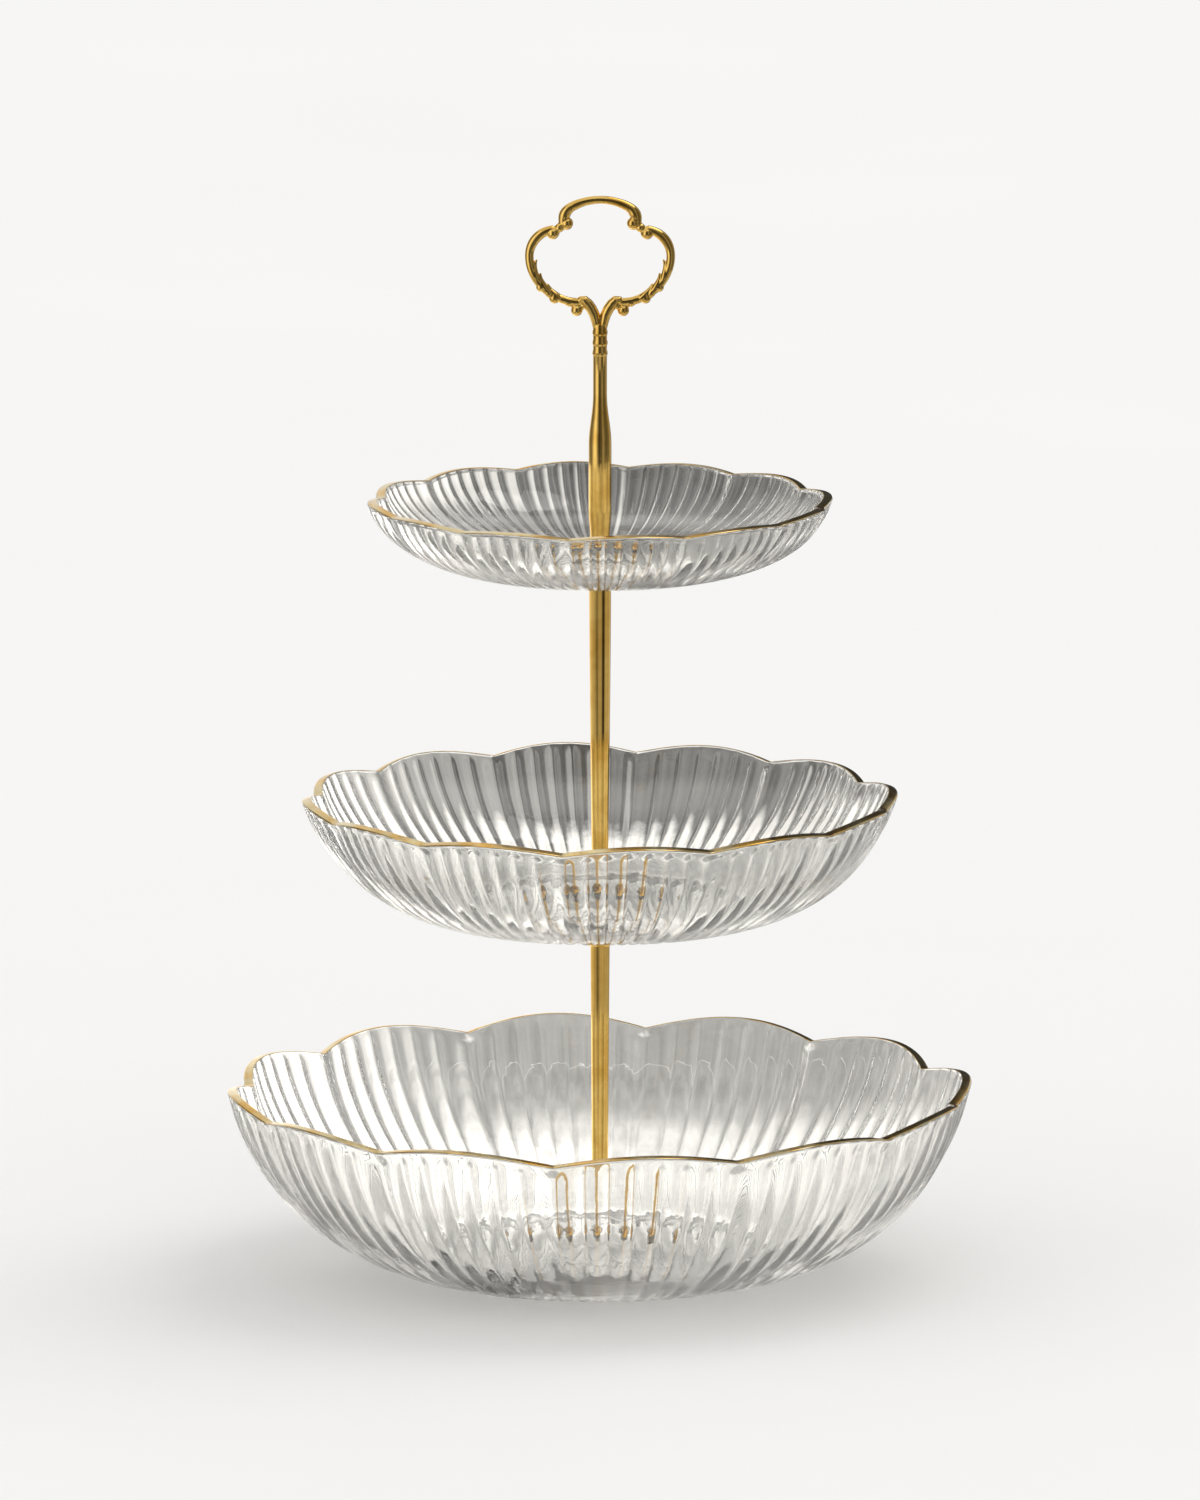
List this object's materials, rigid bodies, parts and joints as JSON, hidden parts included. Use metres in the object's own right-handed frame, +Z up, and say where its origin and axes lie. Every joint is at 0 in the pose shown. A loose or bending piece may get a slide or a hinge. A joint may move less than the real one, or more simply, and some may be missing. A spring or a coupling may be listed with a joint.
{
  "type": "tiered cake stand",
  "caption": "Tiered serving stand: fluted, petal-edged glass bowls on slim gold rods, with a scrolled carrying ring on top.",
  "frame": {"origin": "centre of the ring that the bottom bowl rests on, on the table", "axes": "+Z up along the column, +X to the right and +Y away from the viewer, with the carrying ring in the XZ plane"},
  "size_m": [0.2682, 0.2682, 0.3916],
  "materials": {
    "glass": "clear pressed glass with polished flutes",
    "gold": "polished yellow gold plate",
    "silicone": "translucent silicone",
    "steel": "bright plated steel"
  },
  "bodies": {
    "base": {"bottom_bowl": "glass"},
    "lower_column": {"base_screw": "steel", "base_washer": "gold", "base_pad": "silicone", "bottom_pad": "silicone", "bottom_rosette": "gold", "lower_rod": "gold", "middle_collar": "gold", "middle_washer": "gold", "middle_under_pad": "silicone"},
    "middle_tier": {"middle_bowl": "glass"},
    "upper_clamp": {"middle_pad": "silicone", "middle_rosette": "gold"},
    "upper_column": {"upper_stud": "steel", "upper_rod": "gold", "top_collar": "gold", "top_washer": "gold", "top_under_pad": "silicone"},
    "top_tier": {"top_bowl": "glass"},
    "handle_clamp": {"top_pad": "silicone", "top_rosette": "gold"},
    "handle": {"handle_stud": "steel", "handle": "gold"}
  },
  "joints": [
    {"name": "column_turn", "type": "hinge", "parent": "base", "child": "lower_column", "pos_m": [0, 0, 0.009], "axis": [0, 0, 1], "continuous": true},
    {"name": "middle_bowl_turn", "type": "hinge", "parent": "lower_column", "child": "middle_tier", "pos_m": [0, 0, 0.1308], "axis": [0, 0, 1], "continuous": true},
    {"name": "upper_column_rise", "type": "slide", "parent": "lower_column", "child": "upper_clamp", "axis": [0, 0, 1], "range_m": [0, 0.007]},
    {"name": "upper_column_unscrew", "type": "hinge", "parent": "upper_clamp", "child": "upper_column", "pos_m": [0, 0, 0.1374], "axis": [0, 0, 1], "range_deg": [0, 3601]},
    {"name": "top_bowl_turn", "type": "hinge", "parent": "upper_column", "child": "top_tier", "pos_m": [0, 0, 0.2564], "axis": [0, 0, 1], "continuous": true},
    {"name": "handle_rise", "type": "slide", "parent": "upper_column", "child": "handle_clamp", "axis": [0, 0, 1], "range_m": [0, 0.007]},
    {"name": "handle_unscrew", "type": "hinge", "parent": "handle_clamp", "child": "handle", "pos_m": [0, 0, 0.263], "axis": [0, 0, 1], "range_deg": [0, 3601]}
  ],
  "couplings": [
    {"joint": "upper_column_unscrew", "follows": "upper_column_rise", "rad_per_m": 8976},
    {"joint": "handle_unscrew", "follows": "handle_rise", "rad_per_m": 8976}
  ]
}
